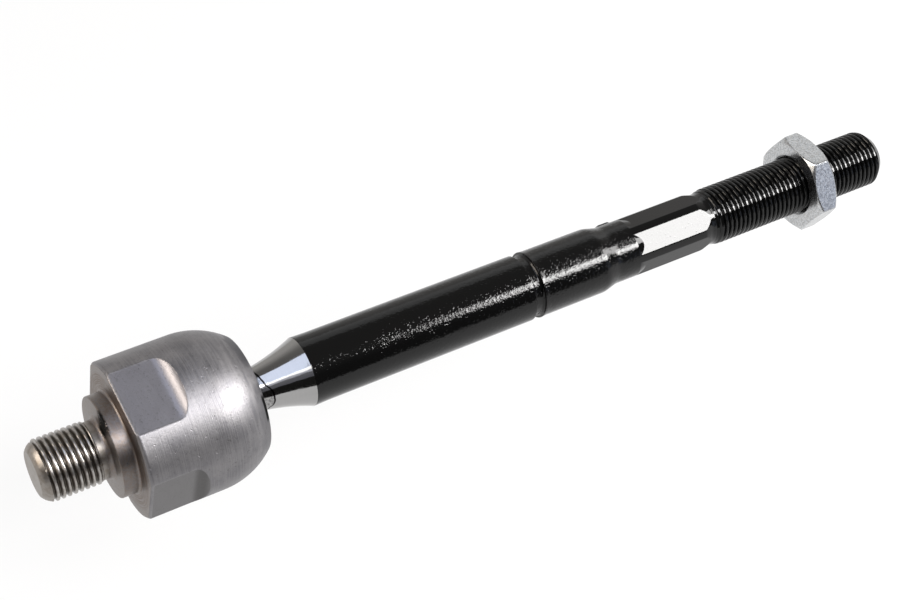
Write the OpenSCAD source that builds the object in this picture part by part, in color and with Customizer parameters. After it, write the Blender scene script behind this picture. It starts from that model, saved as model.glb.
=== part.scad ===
// Inner tie rod of a rack and pinion steering: a ball joint in a screw-in socket,
// the forged rod that carries the ball, and the jam nut on the rod's outer thread.
// The rod's axis is +X. The origin is the centre of the face that seats on the rack.

/* [Rack stud] */
// Length of the stud from its tip to the seating face
stud_len = 17.6; // [15:0.1:26]
// Outer diameter of the M16 x 1.5 threads of stud and rod, over the crests
thread_d = 15.9; // [15.7:0.05:16]
// Diameter of the flat at the tip of the stud
stud_tip_d = 11.6; // [9:0.1:13]
// Length of the rounded lead at the tip of the stud
stud_lead = 2.6; // [1.6:0.1:3.6]
// Diameter of the thread relief next to the seating face
relief_d = 14.8; // [14:0.1:15.2]
// Length of the thread relief next to the seating face
relief_len = 2.7; // [2.4:0.1:4]
// Radius of the fillet between the relief and the seating face
root_fillet = 1.2; // [0.8:0.1:2]

/* [Shoulder collar] */
// Diameter of the collar that seats on the rack
collar_d = 26; // [24:0.5:30]
// Length of the collar
collar_len = 4.2; // [3:0.1:7]
// Radius of the fillet between the collar and the housing
collar_fillet = 0.8; // [0.4:0.1:1.2]

/* [Socket housing] */
// Diameter of the housing, which is also that of its domed end
housing_d = 40.2; // [39:0.1:44]
// Distance from the back face of the housing to the centre of the ball
ball_depth = 19.8; // [19:0.1:26]
// Outer diameter of the rolled lip, where the dome ends
lip_d = 30; // [28.5:0.1:32]
// Width of the lip's end face
lip_wall = 1.6; // [1:0.1:2.2]
// Chamfer of the housing's back edge
back_chamfer = 0.6; // [0.3:0.1:1.2]

/* [Housing wrench flats] */
// Distance across two opposite flats
flats_across = 35.9; // [35:0.1:37.5]
// Length of the flats before they run out
flats_len = 10.9; // [6:0.1:13]
// Radius of the cutter that leaves the run-out
flats_run_r = 4.7; // [3:0.1:6]
// Turn of the flats about the rod's axis, from straight up
flats_turn = 16; // [0:1:89]

/* [Ball and seat] */
// Diameter of the ball
ball_d = 26; // [25:0.1:27]
// Running clearance between the ball and its seat
ball_gap = 0.05; // [0.03:0.01:0.1]
// Wall of the plastic seat round the ball
seat_wall = 2.3; // [2:0.1:2.6]
// Wall of the seat under the ball
seat_floor = 1.6; // [1.2:0.1:2.2]
// Clearance between the seat and the housing
seat_fit = 0.04; // [0.02:0.01:0.08]
// Half angle of the seat's mouth, seen from the ball's centre
mouth_deg = 49; // [48:1:52]
// Diameter of the grease pocket's hole in the seat's floor
grease_hole_d = 8; // [5:0.5:12]
// Radius of the four grease grooves in the seat
grease_groove_r = 0.9; // [0.5:0.1:1.2]

/* [Preload spring] */
// Outer diameter of the disc spring under the seat
spring_d = 27; // [24:0.5:29]
// Bore of the disc spring
spring_bore = 14; // [10:0.5:17]
// Thickness of the disc spring
spring_t = 1; // [0.8:0.1:1.3]
// Height of the disc spring's cone
spring_rise = 0.5; // [0.3:0.1:0.7]

/* [Neck] */
// Diameter of the neck where it leaves the ball
neck_d = 10; // [9.5:0.1:10.6]
// Radius of the neck's long flare
flare_r = 57; // [45:1:60]
// Distance from the ball's centre to the shoulder where the flare ends
neck_len = 29; // [28:0.5:36]
// Diameter of the shoulder where the paint starts
shoulder_d = 18.2; // [18.1:0.1:19]
// Length over which the shoulder drops to the shank
shoulder_step = 1; // [0.5:0.1:2]

/* [Shank] */
// Diameter of the shank
shank_d = 18; // [17.5:0.1:18]
// Length of the shank from the shoulder to the boot groove
shank_len = 64.1; // [40:0.5:120]
// Length of the shank from the boot groove to the taper
collar_end_len = 20; // [10:0.5:40]
// Diameter of the slim end of the rod, before and along the wrench flats
slim_d = 16; // [15.9:0.1:16.5]
// Length of the taper from the shank to the slim end
taper_len = 3.9; // [2:0.1:8]
// Length of the slim end before the wrench flats
slim_len = 6.7; // [3:0.1:15]

/* [Boot groove] */
// Width of the groove for the boot clamp
groove_w = 2.8; // [2.2:0.1:5]
// Depth of the groove for the boot clamp
groove_deep = 0.9; // [0.5:0.1:1.5]
// Height of the raised edge beside the groove
groove_lip = 0.12; // [0.05:0.01:0.3]

/* [Rod wrench flats] */
// Distance across two opposite flats
hex_across = 14.8; // [14.8:0.1:15.4]
// Length of the flats up to the thread relief
hex_len = 21.7; // [14:0.1:40]
// Length of the round shoulder that runs out into the flats
hex_run = 2.2; // [1:0.1:4]
// Turn of the flats about the rod's axis, from straight up
hex_turn = 44.5; // [0:0.5:59.5]

/* [Outer thread] */
// Diameter of the relief between the flats and the thread
run_d = 14.7; // [14:0.1:14.7]
// Length of the relief's cone after the flats
run_in = 2.5; // [1.5:0.1:4]
// Length of the relief's straight bottom
run_len = 1.3; // [1:0.1:4]
// Length over which the thread rises to full height
run_out = 2.4; // [1:0.1:4]
// Length of the outer thread from where it rises to its end chamfer
outer_thread_len = 56.1; // [45:0.5:90]
// Length of the chamfer at the end of the rod
end_chamfer = 2.4; // [1.5:0.1:3.5]
// Diameter of the flat at the end of the rod
end_d = 12; // [10:0.1:13]

/* [Jam nut] */
// Distance across two opposite flats of the nut
nut_across = 24; // [22:0.5:27]
// Thickness of the nut
nut_len = 6.6; // [5:0.1:10]
// Distance from the end of the rod to the nut
nut_back = 21.1; // [8:0.1:30]
// Clearance between the nut's bore and the thread's crests
nut_gap = 0.05; // [0.03:0.01:0.08]
// Diameter of the countersinks in the nut's two faces
nut_sink_d = 19.6; // [17.5:0.1:21]
// Slope of the countersinks, from the nut's faces
nut_sink_deg = 30; // [25:1:45]
// Diameter of the round edge that the nut's corner chamfers leave on its faces
nut_face_d = 24.4; // [22:0.1:26]
// Slope of the corner chamfers, from the nut's faces
nut_chamfer_deg = 35; // [20:1:40]
// Turn of the nut about the rod's axis, from a flat straight up
nut_turn = 0; // [0:1:59]

/* [Hidden] */
$fn = 96;
// how far cutting solids reach past what they cut
past = 1;
// how far a face that ends inside another solid lies below its surface
sunk = 0.01;

thread_r = thread_d / 2;
housing_r = housing_d / 2;
ball_r = ball_d / 2;
shoulder_r = shoulder_d / 2;
shank_r = shank_d / 2;
slim_r = slim_d / 2;

// stations along the rod's axis, from the seating face
back_x = collar_len;
ball_x = back_x + ball_depth;
lip_x = ball_x + sqrt(pow(housing_r, 2) - pow(lip_d / 2, 2));
seat_x = ball_x - ball_r - ball_gap - seat_floor;
floor_x = seat_x - spring_t - spring_rise;
shoulder_x = ball_x + neck_len;
groove_x = shoulder_x + shank_len;
groove_end_x = groove_x + groove_w;
taper_x = groove_end_x + collar_end_len;
slim_x = taper_x + taper_len;
hex_x = slim_x + slim_len;
hex_end_x = hex_x + hex_len;
run_x = hex_end_x + run_in;
run_end_x = run_x + run_len;
thread_x = run_end_x + run_out;
chamfer_x = run_end_x + outer_thread_len;
end_x = chamfer_x + end_chamfer;
nut_x = end_x - nut_back - nut_len;

// the seat fills the socket's bore but for its fit
seat_r = ball_r + ball_gap + seat_wall;
socket_r = seat_r + seat_fit;
// the socket's mouth starts where the seat's mouth cone leaves the seat
mouth_x = ball_x + socket_r * cos(mouth_deg);
mouth_r = socket_r * sin(mouth_deg);
lip_bore_r = lip_d / 2 - lip_wall;
mouth_slope = (lip_bore_r - mouth_r) / (lip_x - mouth_x);

// the flare is an arc that is parallel to the axis at the waist
neck_rise = shoulder_r - neck_d / 2;
waist_x = shoulder_x - sqrt(2 * flare_r * neck_rise - pow(neck_rise, 2));

// Turns what stands on +Z to point along +X
module along_x() {
    rotate([0, 90, 0]) children();
}

// Round bar from one station to another, tapered if two radii are given
module bar(from, to, r, r_to) {
    translate([from, 0, 0]) along_x()
        cylinder(h = to - from, r1 = r, r2 = is_undef(r_to) ? r : r_to);
}

// Sphere about a point on the rod's axis, with its poles on that axis
module globe(at, r) {
    translate([at, 0, 0]) along_x() sphere(r = r);
}

// Solid turned about the rod's axis from a list of [station, radius]
module turned(outline) {
    ends = [[0, outline[len(outline) - 1][0]], [0, outline[0][0]]];
    along_x() rotate_extrude()
        polygon(concat([for (p = outline) [p[1], p[0]]], ends));
}

// Ring with a round section about the rod's axis
module round_ring(at, ring_r, section_r) {
    translate([at, 0, 0]) along_x() rotate_extrude()
        translate([ring_r, 0]) circle(r = section_r);
}

// Concave fillet on a bar of the given radius, against a face that looks to -X
module fillet_before(at, bar_r, fillet_r) {
    difference() {
        bar(at - fillet_r, at, bar_r + fillet_r);
        round_ring(at - fillet_r, bar_r + fillet_r, fillet_r);
    }
}

// Hexagonal bar, with a flat straight up before it is turned
module hex_bar(from, to, across, turn) {
    translate([from, 0, 0]) along_x() rotate([0, 0, turn + 30])
        cylinder(h = to - from, r = across / 2 / cos(30), $fn = 6);
}

// Stud with its rounded lead, thread and relief
module rack_stud() {
    lead_mid = stud_lead / 3;
    lead_mid_r = (stud_tip_d / 2 + thread_r) / 2;
    turned([
        [-stud_len, stud_tip_d / 2],
        [lead_mid - stud_len, lead_mid_r],
        [stud_lead - stud_len, thread_r],
        [-relief_len - (thread_d - relief_d) / 2, thread_r],
        [-relief_len, relief_d / 2],
        [past, relief_d / 2]
    ]);
    fillet_before(0, relief_d / 2, root_fillet);
}

// One of the four wrench flats with its round run-out
module flat_cut() {
    reach = housing_r;
    translate([back_x - past, -reach, flats_across / 2])
        cube([flats_len + past, 2 * reach, reach]);
    translate([back_x + flats_len, 0, flats_across / 2 + flats_run_r])
        rotate([90, 0, 0]) cylinder(h = 2 * reach, r = flats_run_r, center = true);
}

// Outside of the housing: back chamfer, barrel and a dome round the ball's centre
module housing_outside() {
    bar(back_x, back_x + back_chamfer, housing_r - back_chamfer, housing_r);
    bar(back_x + back_chamfer, ball_x, housing_r);
    intersection() {
        globe(ball_x, housing_r);
        bar(ball_x, lip_x, housing_r + past);
    }
}

// Bore for the spring and the seat, open at the mouth
module socket_bore() {
    bar(floor_x, ball_x, socket_r);
    globe(ball_x, socket_r);
    bar(mouth_x - past / 2, lip_x + past, mouth_r - mouth_slope * past / 2, lip_bore_r + mouth_slope * past);
}

// Stud, collar and housing, turned from one forging
module socket_housing() {
    color("darkgray") difference() {
        union() {
            rack_stud();
            bar(0, back_x + past, collar_d / 2);
            fillet_before(back_x, collar_d / 2, collar_fillet);
            housing_outside();
        }
        socket_bore();
        for (k = [0:3]) rotate([flats_turn + 90 * k, 0, 0]) flat_cut();
    }
}

// Plastic cup that holds the ball past its middle
module ball_seat() {
    cone_len = 2 * ball_r;
    groove_reach = 0.6 * ball_r;
    color("dimgray") difference() {
        union() {
            bar(seat_x, ball_x, seat_r);
            globe(ball_x, seat_r);
        }
        globe(ball_x, ball_r + ball_gap);
        bar(ball_x, ball_x + cone_len, 0, cone_len * tan(mouth_deg));
        bar(seat_x - 2 * ball_r, seat_x, seat_r + past);
        bar(seat_x - past, ball_x, grease_hole_d / 2);
        for (k = [0:3]) rotate([90 * k, 0, 0])
            translate([0, 0, ball_r]) bar(ball_x - groove_reach, ball_x + groove_reach, grease_groove_r);
    }
}

// Disc spring between the socket's floor and the seat
module preload_spring() {
    color("slategray") along_x() rotate_extrude() polygon([
        [spring_d / 2, floor_x],
        [spring_d / 2, floor_x + spring_t],
        [spring_bore / 2, floor_x + spring_t + spring_rise],
        [spring_bore / 2, floor_x + spring_rise]
    ]);
}

// Ball, and the neck with its long flare up to the painted shoulder
module ball_and_neck() {
    globe(ball_x, ball_r);
    difference() {
        bar(waist_x, shoulder_x, shoulder_r + past);
        round_ring(waist_x, neck_d / 2 + flare_r, flare_r);
    }
}

// Shank from the shoulder to the wrench flats, with the boot groove
module shank() {
    groove_r = shank_r - groove_deep;
    ease = groove_deep / 2;
    bead = groove_w / 2;
    turned([
        [shoulder_x, shoulder_r],
        [shoulder_x + shoulder_step, shank_r],
        [groove_x, shank_r],
        [groove_x, groove_r + ease],
        [groove_x + ease, groove_r],
        [groove_end_x - ease, groove_r],
        [groove_end_x, groove_r + ease],
        [groove_end_x, shank_r + groove_lip],
        [groove_end_x + bead, shank_r],
        [taper_x, shank_r],
        [slim_x, slim_r],
        [hex_x, slim_r],
        [hex_x + hex_run, hex_across / 2 - sunk]
    ]);
}

// Six flats on the slim end, which fade where the relief gets thinner than they are
module wrench_section() {
    intersection() {
        turned([
            [hex_x, slim_r],
            [hex_end_x, slim_r],
            [run_x, run_d / 2],
            [run_end_x, run_d / 2]
        ]);
        hex_bar(hex_x - past, run_end_x + past, hex_across, hex_turn);
    }
}

// Outer thread with the run from its relief and the end chamfer
module outer_thread() {
    turned([
        [run_end_x, run_d / 2],
        [thread_x, thread_r],
        [chamfer_x, thread_r],
        [end_x, end_d / 2]
    ]);
}

// The rod is one forging from the ball to the outer thread
module tie_rod() {
    color("#202022") union() {
        ball_and_neck();
        shank();
        wrench_section();
        outer_thread();
    }
}

// Hexagonal jam nut, chamfered and countersunk on both faces
module jam_nut() {
    corner_r = nut_across / 2 / cos(30) + past;
    chamfer_len = (corner_r - nut_face_d / 2) * tan(nut_chamfer_deg);
    bore_r = thread_r + nut_gap;
    sink_len = (nut_sink_d / 2 - bore_r) * tan(nut_sink_deg);
    nut_end = nut_x + nut_len;
    sink_past = past * tan(nut_sink_deg);
    color("lightgray") difference() {
        intersection() {
            hex_bar(nut_x, nut_end, nut_across, nut_turn);
            turned([
                [nut_x, nut_face_d / 2],
                [nut_x + chamfer_len, corner_r],
                [nut_end - chamfer_len, corner_r],
                [nut_end, nut_face_d / 2]
            ]);
        }
        bar(nut_x - past, nut_end + past, bore_r);
        bar(nut_x - sink_past, nut_x + sink_len, nut_sink_d / 2 + past, bore_r);
        bar(nut_end - sink_len, nut_end + sink_past, bore_r, nut_sink_d / 2 + past);
    }
}

socket_housing();
ball_seat();
preload_spring();
tie_rod();
jam_nut();
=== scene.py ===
import math

import bmesh
import bpy
import numpy as np
from mathutils import Matrix, Vector


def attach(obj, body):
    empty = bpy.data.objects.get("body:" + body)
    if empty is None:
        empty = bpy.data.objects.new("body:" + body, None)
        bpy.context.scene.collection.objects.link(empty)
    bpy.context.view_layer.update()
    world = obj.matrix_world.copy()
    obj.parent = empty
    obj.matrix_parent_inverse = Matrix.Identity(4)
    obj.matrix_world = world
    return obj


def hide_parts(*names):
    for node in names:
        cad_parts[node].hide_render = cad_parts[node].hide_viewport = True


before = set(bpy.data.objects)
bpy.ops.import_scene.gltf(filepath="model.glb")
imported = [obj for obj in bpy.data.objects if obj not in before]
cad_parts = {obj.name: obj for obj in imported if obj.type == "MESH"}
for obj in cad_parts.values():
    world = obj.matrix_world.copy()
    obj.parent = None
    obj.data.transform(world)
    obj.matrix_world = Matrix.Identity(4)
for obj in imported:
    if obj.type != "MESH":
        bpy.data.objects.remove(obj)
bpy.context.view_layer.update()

MM = 0.001

# The rod's axis is X, and an angle round it is measured from straight up towards -Y.
# Lengths below are in millimetres, from the face that seats on the rack.

# rack stud and collar
PITCH = 1.5
CREST_R = 7.95
STUD_TIP = -17.6
STUD_TIP_R = 5.8
STUD_LEAD = 2.6
RELIEF_R = 7.4
RELIEF_LEN = 2.7
ROOT_FILLET = 1.2
COLLAR_R = 13.0
COLLAR_FILLET = 0.8

# socket housing
BACK = 4.2
BACK_CHAMFER = 0.6
HOUSING_R = 20.1
BALL_X = 24.0
LIP_R = 15.0
LIP_WALL = 1.6
SOCKET_R = 15.39
SOCKET_FLOOR = 7.85
MOUTH_DEG = 49.0
FLAT_H = 17.95
FLATS_END = 15.1
FLATS_RUN_R = 4.7
FLATS_TURN = 16.0

# rod
BALL_R = 13.0
NECK = 36.1
FLARE_R = 57.0
WAIST_R = 5.0
SHOULDER = 53.0
SHOULDER_R = 9.1
SHANK_R = 9.0
GROOVE = 117.1
GROOVE_W = 2.8
GROOVE_DEEP = 0.9
GROOVE_BEAD = 0.12
TAPER = 139.9
TAPER_LEN = 3.9
SLIM_R = 8.0
HEX = 150.5
HEX_RUN = 2.2
HEX_END = 172.2
HEX_H = 7.4
HEX_TURN = 44.5
RUN = 174.7
RUN_R = 7.35
RUN_END = 176.0
THREAD_FULL = 178.4
CHAMFER = 232.1
ROD_END = 234.5
ROD_END_R = 6.0

# jam nut
NUT = 206.8
NUT_LEN = 6.6
NUT_H = 12.0
NUT_FACE_R = 12.2
NUT_CORNER_SLOPE = math.tan(math.radians(35))
NUT_SINK_R = 8.9
NUT_BORE_R = 8.0
NUT_SLOPE = math.tan(math.radians(30))

# thread form: half of the crest's flat, rise of the wall for its run, and crown of the crest
CREST_HALF = PITCH / 6.5
WALL_RISE = 1.9
CREST_CROWN = 0.015
STUD_THREAD_DEEP = 0.82
ROD_THREAD_DEEP = 0.8
NUT_THREAD_DEEP = 0.3
STUD_CREST_AT = -4.2
ROD_CREST_AT = 177.5

# small raised pad on the slim end: place, half length, place round the axis, half width, rise
PAD = 147.0
PAD_HALF = 1.9
PAD_TURN = 305
PAD_HALF_TURN = 5.5
PAD_RISE = 0.35

# faces round the axis
STUD_SIDES = 128
HOUSING_SIDES = 600
ROD_SIDES = 180
WRENCH_SIDES = 540
THREAD_SIDES = 96
NUT_SIDES = 480

# colours of the housing's steel, with painted shade for its lower flat and rim, and the black of
# dark spots
TURNED_DARK = (0.150, 0.147, 0.156, 1)
TURNED_PALE = (0.215, 0.209, 0.214, 1)
TURNED_LINES = (0.27, 0.26, 0.265, 1)
# dark streaks near the rim, with painted shade making them stronger towards the top
DOME_STREAKS_AND_SHADE = (0.05, 0.05, 0.058, 1)
MILLED = (0.245, 0.238, 0.254, 1)
# painted shade: the flat facing down is darker, and darker still towards its run-out
LOW_FLAT_SHADE = (0.135, 0.131, 0.133, 1)
LOW_FLAT_END_SHADE = (0.08, 0.077, 0.077, 1)
COLLAR_STAIN = (0.17, 0.14, 0.12, 1)
BACK_FACE_BROWN = (0.10, 0.065, 0.045, 1)
# black of the dark spots on the collar, lip and neck
DARK_SPOTS = (0.008, 0.008, 0.008, 1)

PAINT_IOR = 1.36

# The camera looks down on the rod from the stud's side. Its place is in millimetres.
CAMERA_AT = (-85.9, -290.7, 334.1)
CAMERA_RIGHT = (0.8641, -0.5023, 0.0334)
CAMERA_UP = (0.3271, 0.6107, 0.7211)
CAMERA_LENS = 74.0

# studio, in metres: the floor lies below the rod's whole swing, and its own colour
# and glow together make it white
FLOOR_Z = -0.1
FLOOR_REACH = 6.0
FLOOR_MATTE = 0.11
FLOOR_GLOW = 0.79
SOFTBOX_AIM = Vector((0.11, 0.0, 0.0))

# black card in front of the part, in metres
CARD_LEFT = -1.0
CARD_RIGHT = 0.205
CARD_NEAR = -0.13
CARD_FOOT = -0.02
CARD_TOP = 0.055


def bend(x, r, radius, start, end, steps):
    """Points (x, r) along an arc about (x, r), from one angle in degrees to another."""
    angles = np.radians(np.linspace(start, end, steps + 1))
    return [(x + radius * math.cos(a), r + radius * math.sin(a)) for a in angles]


def eased(corners, steps=4):
    """A line of (x, r, ease) corners, each rounded over its ease on both sides."""
    line = []
    for i, (x, r, ease) in enumerate(corners):
        if not ease:
            line.append((x, r))
            continue
        corner = Vector((x, r))
        before = Vector(corners[i - 1][:2]) - corner
        after = Vector(corners[i + 1][:2]) - corner
        a = corner + before.normalized() * ease
        b = corner + after.normalized() * ease
        for k in range(steps + 1):
            s = k / steps
            p = a * (1 - s) ** 2 + corner * (2 * s * (1 - s)) + b * s ** 2
            line.append((p.x, p.y))
    return line


def filled(line, step):
    """The same line with points added so that none is further than step from the next."""
    dense = [line[0]]
    for (x0, r0), (x1, r1) in zip(line, line[1:]):
        parts = max(1, math.ceil(math.hypot(x1 - x0, r1 - r0) / step))
        for k in range(1, parts + 1):
            dense.append((x0 + (x1 - x0) * k / parts, r0 + (r1 - r0) * k / parts))
    return dense


def soft_min(a, b, ease):
    """The smaller of two radii, rounded where they cross."""
    near = np.maximum(ease - np.abs(a - b), 0) / ease
    return np.minimum(a, b) - near ** 2 * ease / 4


def cut_flats(r, angle, height, turn, count, ease):
    """Radii cut back to flats at a height from the axis, the first one turned by turn degrees."""
    sector = 2 * math.pi / count
    off = np.mod(angle - math.radians(turn) + sector / 2, sector) - sector / 2
    return soft_min(r, height / np.cos(off), ease)


def thread_r(x, angle, start, depth):
    """Radius of a right-hand thread whose crest passes start at angle zero."""
    turns = (x - start) / PITCH - angle / (2 * math.pi)
    off = np.abs(np.mod(turns + 0.5, 1) - 0.5) * PITCH
    wall = np.clip((off - CREST_HALF) * WALL_RISE, 0, depth)
    return CREST_R - wall - CREST_CROWN * np.clip(off / CREST_HALF, 0, 1) ** 2


def skin(name, line, segments, body, node, shape=None, ring=False):
    """Closed mesh turned about X from (x, r) points in mm.

    shape(x, r, angle) gives the radii with flats or threads cut, and ring joins the line's ends.
    """
    angle = np.arange(segments) * 2 * math.pi / segments
    xs, rs = (np.array(v, float)[:, None] for v in zip(*line))
    xs = xs + 0 * angle
    rs = rs + 0 * angle
    if shape:
        rs = shape(xs, rs, angle + 0 * xs)
    points = np.stack([xs, -rs * np.sin(angle), rs * np.cos(angle)], axis=2) * MM
    rows = len(line)
    index = np.arange(rows * segments).reshape(rows, segments)
    verts = [tuple(p) for p in points.reshape(-1, 3)]
    faces = []
    for i in range(rows if ring else rows - 1):
        low, high = index[i], index[(i + 1) % rows]
        ahead_low, ahead_high = np.roll(low, -1), np.roll(high, -1)
        sides = np.stack([low, high, ahead_high, ahead_low], axis=1)
        faces += [tuple(side) for side in sides.tolist()]
    mesh = bpy.data.meshes.new(name)
    mesh.from_pydata(verts, [], faces)
    piece = bpy.data.objects.new(name, mesh)
    bpy.context.scene.collection.objects.link(piece)
    tidy_mesh(mesh)
    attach(piece, body)
    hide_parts(node)
    return piece


def tidy_mesh(mesh, sharp_deg=38):
    """Welds the poles, turns all faces outwards and shades smooth but for sharp edges."""
    work = bmesh.new()
    work.from_mesh(mesh)
    bmesh.ops.remove_doubles(work, verts=work.verts, dist=1e-7)
    bmesh.ops.recalc_face_normals(work, faces=work.faces)
    work.to_mesh(mesh)
    work.free()
    mesh.shade_smooth()
    mesh.set_sharp_from_angle(angle=math.radians(sharp_deg))


def stud_piece():
    lead_r = (STUD_TIP_R + CREST_R) / 2
    line = [(STUD_TIP, 0)] + eased([
        (STUD_TIP, 0.5, 0),
        (STUD_TIP, STUD_TIP_R, 0.25),
        (STUD_TIP + STUD_LEAD / 3, lead_r, 0.5),
        (STUD_TIP + STUD_LEAD, CREST_R, 0),
    ])
    start = STUD_TIP + STUD_LEAD
    end = -RELIEF_LEN - (CREST_R - RELIEF_R)
    threaded = [(start, CREST_R), (end, CREST_R), (-RELIEF_LEN, RELIEF_R)]
    line = filled(line, 0.1) + filled(threaded, 0.09)[1:]
    line += [(-1.0, RELIEF_R), (0.5, RELIEF_R - 0.4), (0.5, 0)]

    def shape(x, r, angle):
        fade = np.clip((-RELIEF_LEN - 0.2 - x) / 0.5, 0, 1)
        lead = np.clip((x - STUD_TIP - 0.5) / 0.8, 0, 1)
        cut = thread_r(x, angle, STUD_CREST_AT, STUD_THREAD_DEEP)
        floor = r - (CREST_R - cut) * fade * lead
        return np.where(r > 0.6, np.minimum(r, np.maximum(np.minimum(r, cut), floor)), r)

    return skin("rack_stud_thread", line, STUD_SIDES,
                "housing", "socket_housing", shape)


def housing_piece():
    lip = math.asin(LIP_R / HOUSING_R)
    lip_x = BALL_X + HOUSING_R * math.cos(lip)
    mouth = math.radians(MOUTH_DEG)
    line = [(-ROOT_FILLET, 0), (-ROOT_FILLET, RELIEF_R - 0.3)]
    line += bend(-ROOT_FILLET, RELIEF_R + ROOT_FILLET, ROOT_FILLET, -90, 0, 8)
    line += eased([
        (0, RELIEF_R + ROOT_FILLET, 0),
        (0, COLLAR_R, 0.35),
        (BACK - COLLAR_FILLET, COLLAR_R, 0),
    ])[1:]
    line += bend(BACK - COLLAR_FILLET, COLLAR_R + COLLAR_FILLET, COLLAR_FILLET, -90, 0, 8)[1:]
    line += eased([
        (BACK, COLLAR_R + COLLAR_FILLET, 0),
        (BACK, HOUSING_R - BACK_CHAMFER, 0.15),
        (BACK + BACK_CHAMFER, HOUSING_R, 0.25),
        (BACK + 1.5, HOUSING_R, 0),
    ])[1:]
    line += filled([(BACK + 1.5, HOUSING_R), (FLATS_END, HOUSING_R)], 1.2)[1:]
    line += filled([(FLATS_END, HOUSING_R), (FLATS_END + FLATS_RUN_R, HOUSING_R)], 0.13)[1:]
    line += [(BALL_X - 2, HOUSING_R)]
    dome = bend(BALL_X, 0, HOUSING_R, 90, math.degrees(lip) + 1.2, 24)
    line += dome
    line += eased([
        (*dome[-1], 0),
        (lip_x, LIP_R, 0.35),
        (lip_x, LIP_R - LIP_WALL, 0.45),
        (BALL_X + SOCKET_R * math.cos(mouth), SOCKET_R * math.sin(mouth), 0),
    ])[1:]
    line += bend(BALL_X, 0, SOCKET_R, MOUTH_DEG, 90, 12)[1:]
    line += [(SOCKET_FLOOR, SOCKET_R), (SOCKET_FLOOR, 0)]

    def shape(x, r, angle):
        run = np.clip(x - FLATS_END, 0, FLATS_RUN_R)
        height = FLAT_H + FLATS_RUN_R - np.sqrt(FLATS_RUN_R ** 2 - run ** 2)
        height = height - np.clip(BACK + 0.22 - x, 0, 0.22)
        cut = cut_flats(r, angle, height, FLATS_TURN, 4, 0.1)
        outside = (x < FLATS_END + FLATS_RUN_R) & (r > SOCKET_R + 1)
        return np.where(outside, cut, r)

    return skin("housing_forging", line, HOUSING_SIDES,
                "housing", "socket_housing", shape)


def neck_piece():
    drop = SHOULDER_R - WAIST_R
    waist_x = SHOULDER - math.sqrt(2 * FLARE_R * drop - drop ** 2)
    line = bend(BALL_X, 0, BALL_R, 180, 23.5, 40)
    for x in np.linspace(NECK, SHOULDER, 30):
        line.append((x, WAIST_R + FLARE_R - math.sqrt(FLARE_R ** 2 - (x - waist_x) ** 2)))
    line += [(SHOULDER + 0.3, SHOULDER_R - 0.5), (SHOULDER + 0.3, 0)]
    return skin("neck_and_ball", line, ROD_SIDES, "rod", "tie_rod")


def shank_piece():
    floor_r = SHANK_R - GROOVE_DEEP
    end = GROOVE + GROOVE_W
    line = [(SHOULDER, 0)] + eased([
        (SHOULDER, 2, 0),
        (SHOULDER, SHOULDER_R + 0.02, 0.08),
        (SHOULDER + 4, SHANK_R, 1.2),
        (GROOVE, SHANK_R, 0.15),
        (GROOVE + 0.1, floor_r + 0.45, 0.1),
        (GROOVE + 0.5, floor_r, 0.25),
        (end - 0.5, floor_r, 0.25),
        (end - 0.05, floor_r + 0.45, 0.1),
        (end, SHANK_R + GROOVE_BEAD, 0.12),
        (end + 1.4, SHANK_R, 0.4),
        (TAPER, SHANK_R, 0.9),
        (TAPER + TAPER_LEN, SLIM_R, 0.9),
        (HEX - 0.4, SLIM_R, 0),
    ])
    line = filled(line, 0.5) + [(HEX - 0.4, 0)]

    def shape(x, r, angle):
        along = np.clip((PAD_HALF - np.abs(x - PAD)) / 0.15, 0, 1)
        around = np.clip((PAD_HALF_TURN - np.abs(np.degrees(angle) - PAD_TURN)) / 2, 0, 1)
        return r + np.where(r > 2, PAD_RISE * along * around, 0)

    return skin("painted_shank", line, ROD_SIDES, "rod", "tie_rod", shape)


def wrench_piece():
    line = filled([(HEX - 0.6, SLIM_R), (HEX, SLIM_R)], 0.3)
    line += filled([(HEX, SLIM_R), (HEX + HEX_RUN, SLIM_R)], 0.09)[1:]
    line += filled([(HEX + HEX_RUN, SLIM_R), (HEX_END - 0.4, SLIM_R)], 2)[1:]
    run_out = eased([
        (HEX_END - 0.4, SLIM_R, 0),
        (HEX_END, SLIM_R, 0.35),
        (RUN, RUN_R, 0.5),
        (RUN_END, RUN_R, 0),
    ])
    line += filled(run_out, 0.12)[1:]
    line = [(HEX - 0.6, 0)] + line + [(RUN_END, 0)]

    def shape(x, r, angle):
        cut = cut_flats(r, angle, HEX_H, HEX_TURN, 6, 0.06)
        shoulder = SLIM_R - (x - HEX) / HEX_RUN * (SLIM_R - HEX_H + 0.02)
        held = np.where(x < HEX, r, np.maximum(cut, np.minimum(r, shoulder)))
        return np.where(r > 1, held, r)

    return skin("wrench_flats", line, WRENCH_SIDES, "rod", "tie_rod", shape)


def outer_thread_piece():
    line = filled([(RUN_END, RUN_R), (THREAD_FULL, CREST_R), (CHAMFER, CREST_R)], 0.105)
    tip = eased([(CHAMFER, CREST_R, 0), (ROD_END, ROD_END_R, 0.25), (ROD_END, 0.5, 0)])
    line += filled(tip, 0.12)[1:]
    line = [(RUN_END - 0.3, 0), (RUN_END - 0.3, RUN_R - 0.2)] + line + [(ROD_END, 0)]

    def shape(x, r, angle):
        fade = np.clip((x - RUN_END - 0.3) / 2.0, 0, 1)
        cut = thread_r(x, angle, ROD_CREST_AT, ROD_THREAD_DEEP)
        floor = r - (CREST_R - cut) * fade
        end = np.clip((ROD_END - 0.5 - x) / 0.6, 0, 1)
        held = np.minimum(r, np.maximum(np.minimum(r, cut), floor))
        return np.where((r > 1) & (x > RUN_END), r + (held - r) * end, r)

    return skin("outer_thread_turns", line, THREAD_SIDES, "rod", "tie_rod", shape)


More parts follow.
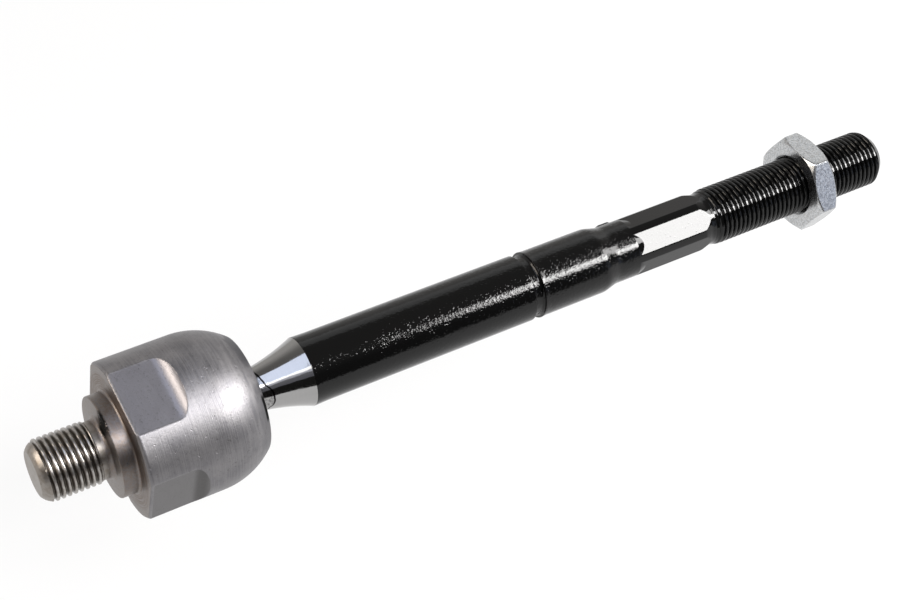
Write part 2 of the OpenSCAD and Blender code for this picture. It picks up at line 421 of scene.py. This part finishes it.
def nut_piece():
    end = NUT + NUT_LEN
    corner = NUT_H / math.cos(math.pi / 6) + 0.2
    rise = (corner - NUT_FACE_R) * NUT_CORNER_SLOPE
    sink = (NUT_SINK_R - NUT_BORE_R) * NUT_SLOPE
    outer = eased([
        (NUT + sink, NUT_BORE_R, 0),
        (NUT, NUT_SINK_R, 0.12),
        (NUT, NUT_FACE_R, 0.12),
        (NUT + rise, corner, 0),
        (end - rise, corner, 0),
        (end, NUT_FACE_R, 0.12),
        (end, NUT_SINK_R, 0.12),
        (end - sink, NUT_BORE_R, 0),
    ])
    line = filled(outer, 0.12)
    line += filled([(end - sink, NUT_BORE_R), (NUT + sink, NUT_BORE_R)], 0.12)[1:-1]

    def shape(x, r, angle):
        cut = cut_flats(r, angle, NUT_H, 0, 6, 0.5)
        turns = (x - NUT) / PITCH - angle / (2 * math.pi)
        groove = NUT_THREAD_DEEP * (1 - np.abs(2 * np.mod(turns, 1) - 1))
        return cut + groove * (r < NUT_BORE_R + NUT_THREAD_DEEP)

    return skin("plated_nut", line, NUT_SIDES, "nut", "jam_nut", shape, ring=True)


class Wire:
    """A number in a shader: + - * / ** and their mirrored forms add Math nodes."""

    def __init__(self, finish, socket):
        self.finish = finish
        self.socket = socket

    def math(self, operation, *values):
        sockets = dict(enumerate(values))
        return self.finish.add("ShaderNodeMath", {"operation": operation}, sockets)["Value"]

    def __add__(self, other): return self.math("ADD", self, other)
    def __radd__(self, other): return self.math("ADD", other, self)
    def __sub__(self, other): return self.math("SUBTRACT", self, other)
    def __rsub__(self, other): return self.math("SUBTRACT", other, self)
    def __mul__(self, other): return self.math("MULTIPLY", self, other)
    def __rmul__(self, other): return self.math("MULTIPLY", other, self)
    def __truediv__(self, other): return self.math("DIVIDE", self, other)
    def __rtruediv__(self, other): return self.math("DIVIDE", other, self)
    def __pow__(self, other): return self.math("POWER", self, other)

    def or_larger(self, other):
        return self.math("MAXIMUM", self, other)


class Outlets:
    """The outputs of one node, by name."""

    def __init__(self, finish, node):
        self.finish = finish
        self.node = node

    def __getitem__(self, name):
        outputs = [o for o in self.node.outputs if o.name == name and o.enabled]
        return Wire(self.finish, outputs[0])


class Finish:
    """A material, or the world, built node by node."""

    def __init__(self, name=None):
        if name:
            self.owner = bpy.data.materials.new(name)
        else:
            self.owner = bpy.data.worlds.new("studio")
        self.owner.use_nodes = True
        self.tree = self.owner.node_tree
        self.tree.nodes.clear()
        if name:
            self.coords()

    def add(self, kind, settings=None, sockets=None):
        """A node of a type, with its settings first and then the values or links of its sockets."""
        node = self.tree.nodes.new(kind)
        for key, value in (settings or {}).items():
            if key == "stops":
                self.set_stops(node.color_ramp, value)
            else:
                setattr(node, key, value)
        for key, value in (sockets or {}).items():
            if isinstance(key, str):
                target = [s for s in node.inputs if s.name == key and s.enabled][0]
            else:
                target = node.inputs[key]
            if isinstance(value, Wire):
                self.tree.links.new(value.socket, target)
            else:
                target.default_value = value
        return Outlets(self, node)

    def set_stops(self, ramp, stops):
        while len(ramp.elements) < len(stops):
            ramp.elements.new(0.5)
        for element, (place, colour) in zip(ramp.elements, stops):
            element.position = place
            element.color = colour if len(colour) == 4 else (*colour, 1)

    def coords(self):
        """Place on the part in millimetres, and how far out and which way from the axis."""
        place = self.add("ShaderNodeTexCoord")["Object"]
        self.place = self.vector("SCALE", {0: place, "Scale": 1000.0})["Vector"]
        parts = self.add("ShaderNodeSeparateXYZ", None, {0: self.place})
        self.x, y, z = parts["X"], parts["Y"], parts["Z"]
        self.r = (y * y + z * z) ** 0.5
        out = self.add("ShaderNodeCombineXYZ", None, {1: y, 2: z})["Vector"]
        self.out = self.vector("NORMALIZE", {0: out})["Vector"]

    def vector(self, operation, sockets):
        return self.add("ShaderNodeVectorMath", {"operation": operation}, sockets)

    def noise(self, scale, detail=3.0, rough=0.5, place=None, offset=0.0):
        """Noise from 0 to 1, about scale bumps per millimetre."""
        sockets = {"Vector": place or self.place, "Scale": scale, "W": offset}
        sockets.update({"Detail": detail, "Roughness": rough})
        return self.add("ShaderNodeTexNoise", {"noise_dimensions": "4D"}, sockets)["Fac"]

    def round_noise(self, along, around, detail=3.0, offset=0.0):
        """Noise drawn out round the axis: along per millimetre of the section, around per turn."""
        ring = self.vector("SCALE", {0: self.out, "Scale": around})["Vector"]
        section = (self.x + self.r * 1.3) * along
        step = self.add("ShaderNodeCombineXYZ", None, {0: section})["Vector"]
        place = self.vector("ADD", {0: ring, 1: step})["Vector"]
        return self.noise(1.0, detail, 0.5, place, offset)

    def grade(self, value, low, high, to_low=0.0, to_high=1.0, smooth=True):
        """A value carried from one span to another, held at both ends."""
        kind = {"interpolation_type": "SMOOTHSTEP" if smooth else "LINEAR"}
        sockets = {"Value": value, "From Min": low, "From Max": high}
        sockets.update({"To Min": to_low, "To Max": to_high})
        return self.add("ShaderNodeMapRange", kind, sockets)["Result"]

    def band(self, value, low, high, soft):
        """1 between two values and 0 outside them."""
        above = self.grade(value, low - soft, low + soft)
        return above * self.grade(value, high + soft, high - soft)

    def facing(self, angle, half, soft):
        """1 within half degrees of an angle round the axis."""
        a = math.radians(angle)
        dot = self.dot((0.0, -math.sin(a), math.cos(a)))
        outer, inner = math.radians(half + soft), math.radians(max(half - soft, 0))
        return self.grade(dot, math.cos(outer), math.cos(inner))

    def dot(self, way):
        """How far a place round the axis lies towards a direction, from -1 to 1."""
        return self.vector("DOT_PRODUCT", {0: self.out, 1: way})["Value"]

    def mix(self, share, a, b):
        """Colour a where share is 0 and colour b where it is 1."""
        sockets = {"Factor": share, 6: a, 7: b}
        node = self.add("ShaderNodeMix", {"data_type": "RGBA"}, sockets)
        return Wire(self, node.node.outputs[2])

    def bump(self, height, distance):
        """Normal from a height of 0 to 1, with the height's full rise in millimetres."""
        sockets = {"Height": height, "Distance": distance * MM, "Strength": 1.0}
        return self.add("ShaderNodeBump", None, sockets)["Normal"]

    def close(self, sockets):
        """Ends the material in one Principled shader."""
        shader = self.add("ShaderNodeBsdfPrincipled", None, sockets)["BSDF"]
        self.add("ShaderNodeOutputMaterial", None, {"Surface": shader})
        return self.owner


def grey(value, warm=0.0):
    """Grey that leans to brown for a positive warm and to blue for a negative one."""
    return (value * (1 + warm), value, value * (1 - warm), 1.0)


def turned_steel():
    """Housing: lines round the axis, milled flats, stained collar, painted shade on the lower flat
    and the rim, and black spots on the collar's edge and lip.
    """
    f = Finish("turned_steel")
    lines = f.round_noise(3.5, 2.2, 3.0)
    cloud = f.noise(0.16, 3.0, 0.6)
    grain = f.noise(1.8, 3.0, 0.7, offset=3.0)
    milled = f.grade(f.r, HOUSING_R - 0.05, HOUSING_R - 0.25) * f.band(f.x, 5.0, 19.9, 0.1)
    shade = f.mix(f.grade(cloud, 0.3, 0.7), TURNED_DARK, TURNED_PALE)

    bare = f.grade(milled, 0.0, 1.0, 1.0, 0.0)
    shade = f.mix(f.grade(lines, 0.35, 0.65, 0.0, 0.4) * bare, shade, TURNED_LINES)
    shade = f.mix(milled, shade, MILLED)
    streaks = f.round_noise(2.4, 1.6, 3.0, 8.0)
    pits = f.grade(f.noise(1.1, 1.0, 0.5, offset=9.0), 0.68, 0.76)
    rim = f.grade(f.x, 31.0, 38.0)
    # real streaking near the rim, made stronger towards the top as painted shade
    top_shade = f.facing(0, 40, 20) * 0.5 + 0.4
    shade = f.mix(f.grade(streaks, 0.45, 0.6) * rim * top_shade, shade, DOME_STREAKS_AND_SHADE)

    collar = f.grade(f.x, 4.35, 4.15)
    shade = f.mix(collar * f.grade(grain, 0.35, 0.6, 0.3, 0.95), shade, COLLAR_STAIN)
    # brown lines on the back face beside the collar
    face = f.band(f.r, COLLAR_R, 17.5, 0.6) * f.grade(f.x, 4.4, 4.25) * f.grade(f.x, 3.9, 4.1)
    shade = f.mix(face * f.grade(lines, 0.4, 0.6, 0.2, 1.0), shade, BACK_FACE_BROWN)

    # painted shade on the flat facing down and on its run-out
    low_flat_shade = milled * f.facing(106, 34, 4)
    shade = f.mix(low_flat_shade, shade, LOW_FLAT_SHADE)
    shade = f.mix(low_flat_shade * f.band(f.x, 15.9, 18.6, 0.8), shade, LOW_FLAT_END_SHADE)
    colour = f.mix(f.grade(grain, 0.25, 0.45, 0.6, 0.0), shade, grey(0.06, 0.05))

    # a ragged black patch on the upper front of the collar's edge
    ragged = f.noise(0.9, 3.0, 0.7, offset=4.0)
    collar_black = f.band(f.x + ragged * 0.8, 0.0, 0.9, 0.25) * f.facing(14, 13, 7)
    collar_black = collar_black * f.grade(ragged, 0.36, 0.46)
    # black along the front of the lip's rounded edge
    lip_black = f.grade(f.x, 36.3, 36.6) * f.facing(60, 12, 3) * f.grade(grain, 0.3, 0.36)
    spots = collar_black + lip_black
    rough = 0.38 + lines * 0.12 + cloud * 0.06 + f.grade(milled, 0.0, 1.0, 0.0, -0.07)
    return f.close({
        "Base Color": f.mix(spots, colour, DARK_SPOTS),
        "Metallic": 1.0,
        "Roughness": rough - collar * 0.06 + spots * 0.3,
        "Normal": f.bump(lines * bare * 0.5 + grain * 0.5 - pits * bare * 0.5, 0.07),
    })


def threaded_steel():
    """Stud: thread roots painted dark as shade, crests painted light as highlight, and plain turned
    ends.
    """
    f = Finish("threaded_steel")
    crest = f.grade(f.r, CREST_R - 0.75, CREST_R - 0.1)
    cloud = f.noise(0.6, 3.0, 0.6)
    shine = f.mix(f.grade(cloud, 0.35, 0.65), grey(0.24, 0.10), grey(0.40, 0.04))
    # painted shade in the thread roots and painted highlight on the crests
    crest_shine_root_shade = f.mix(crest, grey(0.09, 0.15), shine)
    plain = f.mix(f.grade(cloud, 0.3, 0.6), grey(0.18, 0.14), grey(0.26, 0.08))
    relief = f.grade(f.x, -RELIEF_LEN - 0.5, -RELIEF_LEN - 0.1)
    turned = relief + f.grade(f.x, STUD_TIP + 2.2, STUD_TIP + 1.9)
    return f.close({
        "Base Color": f.mix(turned, crest_shine_root_shade, plain),
        "Metallic": 1.0,
        "Roughness": 0.26 + turned * 0.1 + cloud * 0.1,
        "Normal": f.bump(f.noise(2.0, 2.0), 0.01),
    })


def bright_steel():
    """Neck: nearly a mirror, wiped greasy up to a dark slanted line near the mouth, and black on
    its front at the mouth.
    """
    f = Finish("bright_steel")
    lines = f.round_noise(6.0, 0.8, 2.0)
    along = f.round_noise(0.12, 6.0, 2.0, 3.0)
    wobble = f.noise(0.35, 2.0, 0.5, offset=6.0)
    lean = f.dot((0.0, -0.97, 0.26))
    edge = f.x - 39.5 - lean * 1.75 - f.grade(lean, 0.8, 1.0) * 1.2 - wobble * 0.9
    smear = f.band(edge, -0.3, 0.15, 0.06) * f.grade(wobble, 0.3, 0.42, 0.6, 1.0)
    # black on the front of the neck just outside the mouth
    mouth = f.grade(f.x, 40.2, 39.2) * f.facing(80, 26, 8)
    wiped = f.grade(edge, 0.1, -0.1) * f.grade(f.noise(1.6, 3.0, 0.7), 0.45, 0.6) * 0.5
    darkened = smear.or_larger(wiped).or_larger(mouth)
    steel = f.mix(lines * 0.5 + along * 0.5, grey(0.29, 0.02), grey(0.38, 0.0))
    return f.close({
        "Base Color": f.mix(darkened, steel, DARK_SPOTS),
        "Metallic": 1.0,
        "Roughness": 0.07 + lines * 0.05,
        "Normal": f.bump(lines * 0.15 + along, 0.03),
    })


def black_gloss():
    """Shank: black paint with orange peel and nibs, calmer near the shoulder and the flats."""
    f = Finish("black_gloss")
    peel = f.noise(1.1, 2.0, 0.6)
    grain = f.noise(2.6, 2.0, 0.6, offset=2.0)
    nibs = f.grade(f.noise(2.0, 0.0, 0.5, offset=5.0), 0.6, 0.8)
    depth = f.grade(f.x, 62.0, 76.0, 0.4, 0.9) * f.grade(f.x, 112.0, 124.0, 1.0, 1.3)
    depth = depth * f.grade(f.x, 148.0, 151.0, 1.0, 0.25)
    normal = f.bump((peel * 0.6 + grain * 0.3 + nibs * 0.3) * depth, 0.085)
    return f.close({
        "Base Color": grey(0.0018),
        "Roughness": 0.05 + grain * 0.04,
        "IOR": PAINT_IOR,
        "Normal": normal,
    })


def zinc():
    """Nut: clouded plating with darker flecks."""
    f = Finish("zinc_plate")
    cloud = f.noise(1.6, 4.0, 0.65)
    flecks = f.noise(3.4, 2.0, 0.7, offset=1.0)
    shade = f.mix(f.grade(cloud, 0.38, 0.62), grey(0.44, 0.01), grey(0.62, -0.02))
    return f.close({
        "Base Color": f.mix(f.grade(flecks, 0.35, 0.5, 0.7, 0.0), shade, grey(0.22, -0.12)),
        "Metallic": 1.0,
        "Roughness": 0.17 + cloud * 0.14,
        "Normal": f.bump(cloud * 0.25 + flecks * 0.6, 0.04),
    })


def seat_plastic():
    f = Finish("seat_plastic")
    cloud = f.noise(0.7, 3.0)
    return f.close({
        "Base Color": grey(0.025),
        "Roughness": 0.45 + cloud * 0.2,
        "Normal": f.bump(cloud, 0.02),
    })


def spring_steel():
    f = Finish("spring_steel")
    lines = f.round_noise(5.0, 1.0)
    return f.close({
        "Base Color": grey(0.3, 0.03),
        "Metallic": 1.0,
        "Roughness": 0.3 + lines * 0.2,
    })


def paint(obj, material):
    obj.data.materials.clear()
    obj.data.materials.append(material)


def sheet(name, corners):
    """One flat face for the stage."""
    mesh = bpy.data.meshes.new(name)
    mesh.from_pydata(corners, [], [(0, 1, 2, 3)])
    piece = bpy.data.objects.new(name, mesh)
    bpy.context.scene.collection.objects.link(piece)
    return piece


def set_camera():
    right = Vector(CAMERA_RIGHT).normalized()
    back = right.cross(Vector(CAMERA_UP)).normalized()
    up = back.cross(right)
    data = bpy.data.cameras.new("camera")
    data.lens = CAMERA_LENS
    data.sensor_width = 36.0
    data.clip_end = 50
    camera = bpy.data.objects.new("camera", data)
    bpy.context.scene.collection.objects.link(camera)
    turn = Matrix((right, up, back)).transposed().to_4x4()
    camera.matrix_world = Matrix.Translation(Vector(CAMERA_AT) * MM) @ turn
    bpy.context.scene.camera = camera


def stage_floor():
    """Level floor below the rod's whole swing: the part is made to be held by its stud."""
    corners = [(-1, -1), (1, -1), (1, 1), (-1, 1)]
    floor = sheet("floor", [(x * FLOOR_REACH, y * FLOOR_REACH, FLOOR_Z) for x, y in corners])
    f = Finish("white_floor")
    matte = f.add("ShaderNodeBsdfDiffuse", None, {"Color": grey(FLOOR_MATTE)})["BSDF"]
    white = {"Color": grey(1.0), "Strength": FLOOR_GLOW}
    glow = f.add("ShaderNodeEmission", None, white)["Emission"]
    both = f.add("ShaderNodeAddShader", None, {0: matte, 1: glow})["Shader"]
    f.add("ShaderNodeOutputMaterial", None, {"Surface": both})
    paint(floor, f.owner)


def area_lamp(name, size, radiance, colour):
    data = bpy.data.lights.new(name, "AREA")
    data.shape = "RECTANGLE"
    data.size, data.size_y = size
    data.energy = radiance * math.pi * size[0] * size[1]
    data.color = colour
    lamp = bpy.data.objects.new(name, data)
    bpy.context.scene.collection.objects.link(lamp)
    return lamp


def softbox(name, azimuth, height, distance, size, radiance, colour):
    """Area lamp aimed at the part.

    azimuth is in degrees from +X towards -Y, and height in degrees above the horizon.
    """
    a, h = math.radians(azimuth), math.radians(height)
    way = Vector((math.cos(h) * math.cos(a), -math.cos(h) * math.sin(a), math.sin(h)))
    lamp = area_lamp(name, size, radiance, colour)
    lamp.location = SOFTBOX_AIM + way * distance
    lamp.rotation_euler = way.to_track_quat("Z", "Y").to_euler()


def panel(name, x, rise, away, size, radiance, colour):
    """Area lamp along the rod, away metres from it; rise is in degrees from -Y upwards."""
    a = math.radians(rise)
    way = Vector((0, -math.cos(a), math.sin(a)))
    lamp = area_lamp(name, size, radiance, colour)
    along = Vector((1, 0, 0))
    turn = Matrix((along, way.cross(along), way)).transposed().to_4x4()
    lamp.matrix_world = Matrix.Translation(along * x + way * away) @ turn


def set_lights():
    """Three bright keys in front, then softer light from above, low, behind and the side."""
    panel("key", 0.875, 43.5, 1.0, (0.65, 0.28), 38.0, (1.0, 0.99, 0.98))
    panel("key_far", 1.45, 60, 1.0, (1.34, 0.56), 15.0, (1.0, 0.99, 0.98))
    panel("key_left", 0.15, 54, 1.0, (0.26, 0.18), 31.0, (1.0, 0.99, 1.0))
    panel("overhead", -0.225, 78, 1.1, (0.55, 0.95), 2.2, (0.75, 0.84, 1.05))
    panel("overhead_edge", -0.225, 52, 1.0, (0.55, 0.13), 3.2, (1.0, 1.0, 1.0))
    panel("overhead_low", -0.225, 44, 1.0, (0.55, 0.14), 0.9, (0.9, 0.92, 1.05))
    panel("overhead_foot", -0.225, 31, 1.0, (0.55, 0.3), 0.16, (0.9, 0.92, 1.1))
    panel("low_right", 1.0, 10, 1.0, (0.45, 0.4), 0.7, (0.75, 0.85, 1.1))
    panel("back_right", 0.8, 137, 1.0, (1.2, 0.45), 0.62, (0.97, 1.0, 1.02))
    softbox("side", 197, 36, 1.0, (0.6, 0.5), 6.5, (1.0, 0.9, 0.78))


def stage_card():
    """Black card in front of the part, which only its reflections show."""
    card = sheet("black_card", [
        (CARD_LEFT, CARD_NEAR, CARD_FOOT),
        (CARD_RIGHT, CARD_NEAR, CARD_FOOT),
        (CARD_RIGHT, CARD_NEAR, CARD_TOP),
        (CARD_LEFT, CARD_NEAR, CARD_TOP),
    ])
    f = Finish("black_card")
    matte = f.add("ShaderNodeBsdfDiffuse", None, {"Color": grey(0.02)})["BSDF"]
    f.add("ShaderNodeOutputMaterial", None, {"Surface": matte})
    paint(card, f.owner)
    card.visible_camera = False
    card.visible_diffuse = False
    card.visible_shadow = False


def set_world():
    f = Finish()
    way = f.add("ShaderNodeTexCoord")["Generated"]
    parts = f.add("ShaderNodeSeparateXYZ", None, {0: way})
    back = f.grade(parts["Y"], -0.5, 0.5)
    high = f.grade(parts["Z"], 0.35, 0.9)
    low_colour = f.mix(back, grey(0.05, 0.0), grey(0.65, 0.03))
    colour = f.mix(high, low_colour, grey(0.22, 0.03))
    shader = f.add("ShaderNodeBackground", None, {"Color": colour, "Strength": 1.0})["Background"]
    f.add("ShaderNodeOutputWorld", None, {"Surface": shader})
    bpy.context.scene.world = f.owner


set_camera()
stage_floor()
stage_card()
set_lights()
set_world()
bpy.context.scene.view_settings.view_transform = "Standard"

steel = turned_steel()
gloss = black_gloss()
paint(stud_piece(), threaded_steel())
paint(housing_piece(), steel)
paint(neck_piece(), bright_steel())
paint(shank_piece(), gloss)
paint(wrench_piece(), gloss)
paint(outer_thread_piece(), gloss)
paint(nut_piece(), zinc())
paint(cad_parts["ball_seat"], seat_plastic())
paint(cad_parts["preload_spring"], spring_steel())
